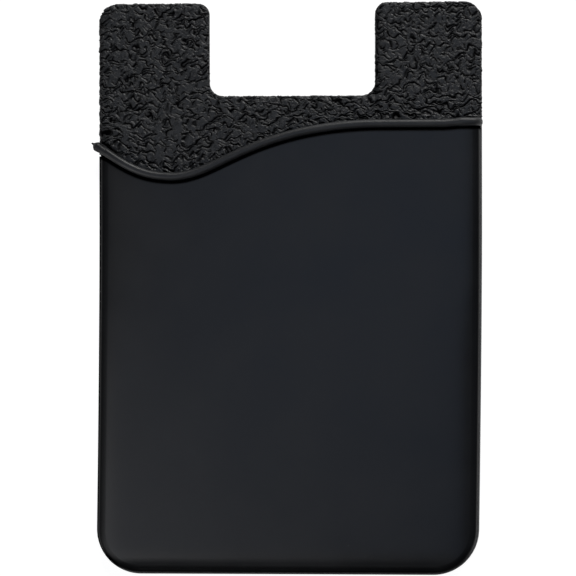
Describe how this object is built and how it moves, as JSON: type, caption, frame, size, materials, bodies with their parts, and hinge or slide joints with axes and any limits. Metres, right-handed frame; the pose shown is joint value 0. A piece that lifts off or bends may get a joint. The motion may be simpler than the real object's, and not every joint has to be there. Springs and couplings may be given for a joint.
{
  "type": "stick on phone card holder",
  "caption": "Stick-on silicone card pocket for the back of a phone, with a thumb notch and a wave-shaped mouth.",
  "frame": {"origin": "centre of the body's width and height, on the liner's exposed back face", "axes": "+X to the right seen from the front, +Y from the closed end towards the ears, +Z out of the front"},
  "size_m": [0.0586, 0.086, 0.0039],
  "materials": {
    "silicone": "satin",
    "adhesive": "satin",
    "liner": "satin"
  },
  "bodies": {
    "root": {"card_pocket": "silicone", "adhesive_sheet": "adhesive", "release_liner": "liner"}
  },
  "joints": []
}
